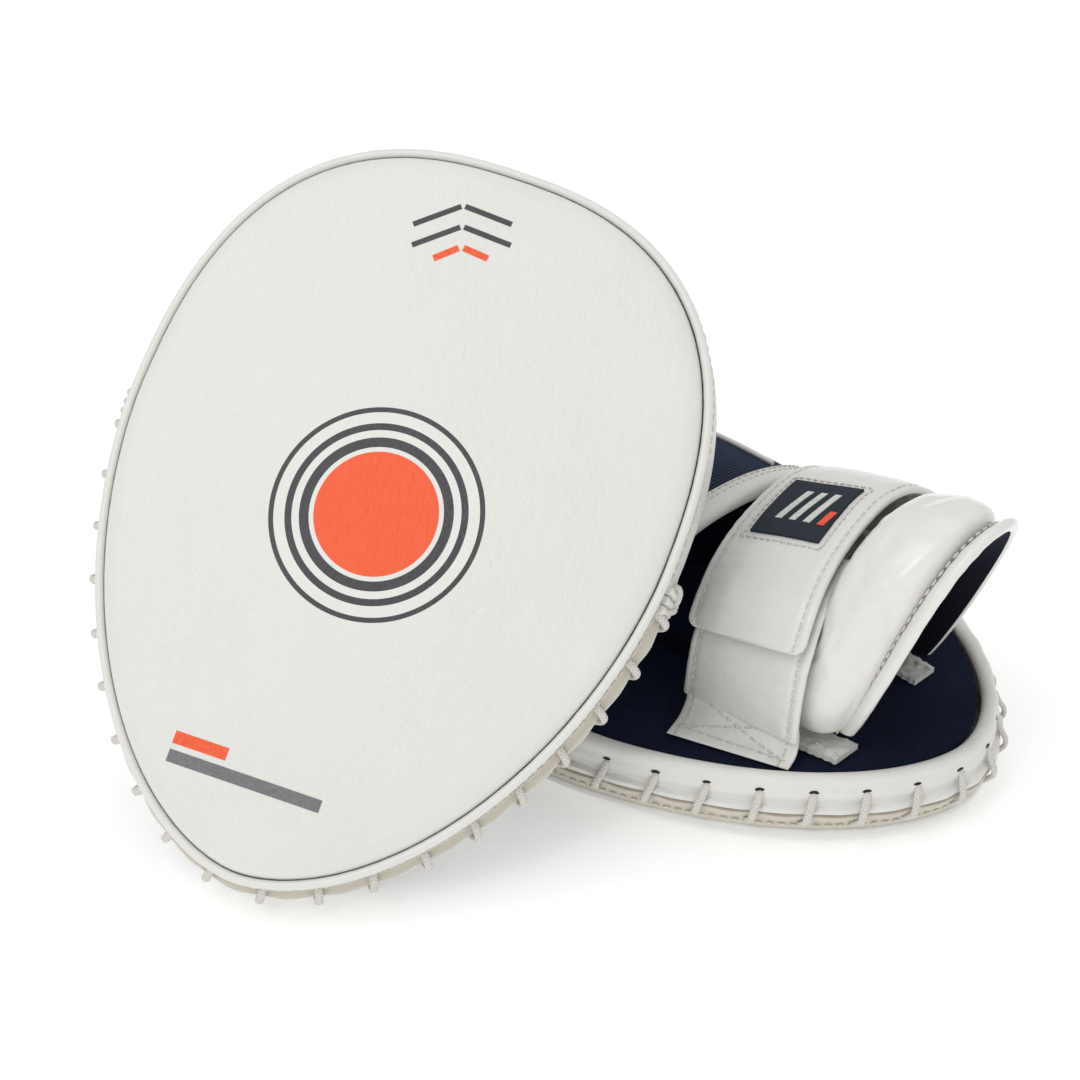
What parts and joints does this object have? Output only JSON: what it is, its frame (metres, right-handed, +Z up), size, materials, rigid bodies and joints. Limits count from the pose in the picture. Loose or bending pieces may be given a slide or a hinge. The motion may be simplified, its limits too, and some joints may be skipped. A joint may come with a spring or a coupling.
{
  "type": "focus mitts",
  "caption": "Pair of padded leather focus mitts with target rings, laced rims, finger hoods, closing straps and wrist cuffs; one leans on the other.",
  "frame": {"origin": "centre of the box's footprint, on the surface that the mitts lie on", "axes": "+Z up; the front mitt's striking face looks toward -Y and up; +X runs to the rear mitt's wrist side"},
  "size_m": [0.3287, 0.2761, 0.2071],
  "materials": {
    "white_leather": "grained off-white leather, satin",
    "cream_leather": "cut cream leather edge, matte satin",
    "navy_lining": "dark navy knitted lining, matte",
    "black_lining": "black woven lining, matte",
    "lace_cord": "braided off-white lace, matte",
    "foam": "closed-cell foam, matte",
    "board": "pressed fibre board, matte",
    "tape": "hook-and-loop tape, matte",
    "woven_label": "woven dark label with a plain pale pattern"
  },
  "bodies": {
    "rear": {"rear_face_leather": "white_leather", "rear_face_welt": "white_leather", "rear_face_flange": "cream_leather", "rear_back_band": "white_leather", "rear_finger_gusset": "white_leather", "rear_lace": "lace_cord", "rear_strike_foam": "foam", "rear_stiffener_board": "board", "rear_palm_foam": "foam", "rear_palm_lining": "navy_lining", "rear_grip_pad": "navy_lining", "rear_finger_hood": "navy_lining", "rear_hood_binding": "white_leather", "rear_hood_piping_near": "white_leather", "rear_hood_piping_far": "white_leather", "rear_strap_tab": "white_leather", "rear_strap_anchor": "white_leather", "rear_loop_tape": "tape", "rear_cuff_lining": "black_lining", "rear_cuff_foam": "foam", "rear_cuff_leather": "white_leather", "rear_cuff_foot_near": "white_leather", "rear_cuff_foot_far": "white_leather", "rear_cuff_welt": "white_leather"},
    "rear_strap": {"rear_closing_strap": "white_leather", "rear_hook_tape": "tape", "rear_strap_label": "woven_label"},
    "front": {"front_face_leather": "white_leather", "front_face_welt": "white_leather", "front_face_flange": "cream_leather", "front_back_band": "white_leather", "front_finger_gusset": "white_leather", "front_lace": "lace_cord", "front_strike_foam": "foam", "front_stiffener_board": "board", "front_palm_foam": "foam", "front_palm_lining": "navy_lining", "front_grip_pad": "navy_lining", "front_finger_hood": "navy_lining", "front_hood_binding": "white_leather", "front_hood_piping_near": "white_leather", "front_hood_piping_far": "white_leather", "front_strap_tab": "white_leather", "front_strap_anchor": "white_leather", "front_loop_tape": "tape", "front_cuff_lining": "black_lining", "front_cuff_foam": "foam", "front_cuff_leather": "white_leather", "front_cuff_foot_near": "white_leather", "front_cuff_foot_far": "white_leather", "front_cuff_welt": "white_leather"},
    "front_strap": {"front_closing_strap": "white_leather", "front_hook_tape": "tape", "front_strap_label": "woven_label"}
  },
  "joints": [
    {"name": "front_lift", "type": "slide", "parent": "rear", "child": "front", "axis": [-0.1066, -0.7425, 0.6613], "range_m": [0, 0.3]},
    {"name": "rear_strap_open", "type": "hinge", "parent": "rear", "child": "rear_strap", "pos_m": [0.13345, 0.01925, 0.04366], "axis": [-0.7071, 0.7071, 0], "range_deg": [0, 95]},
    {"name": "front_strap_open", "type": "hinge", "parent": "front", "child": "front_strap", "pos_m": [-0.13807, -0.04463, 0.06208], "axis": [0.3654, 0.5893, 0.7205], "range_deg": [0, 95]}
  ],
  "couplings": [
    {"joint": "rear_strap_open", "follows": "front_lift", "rad_per_m": 5.5},
    {"joint": "front_strap_open", "follows": "front_lift", "rad_per_m": 5.5}
  ]
}
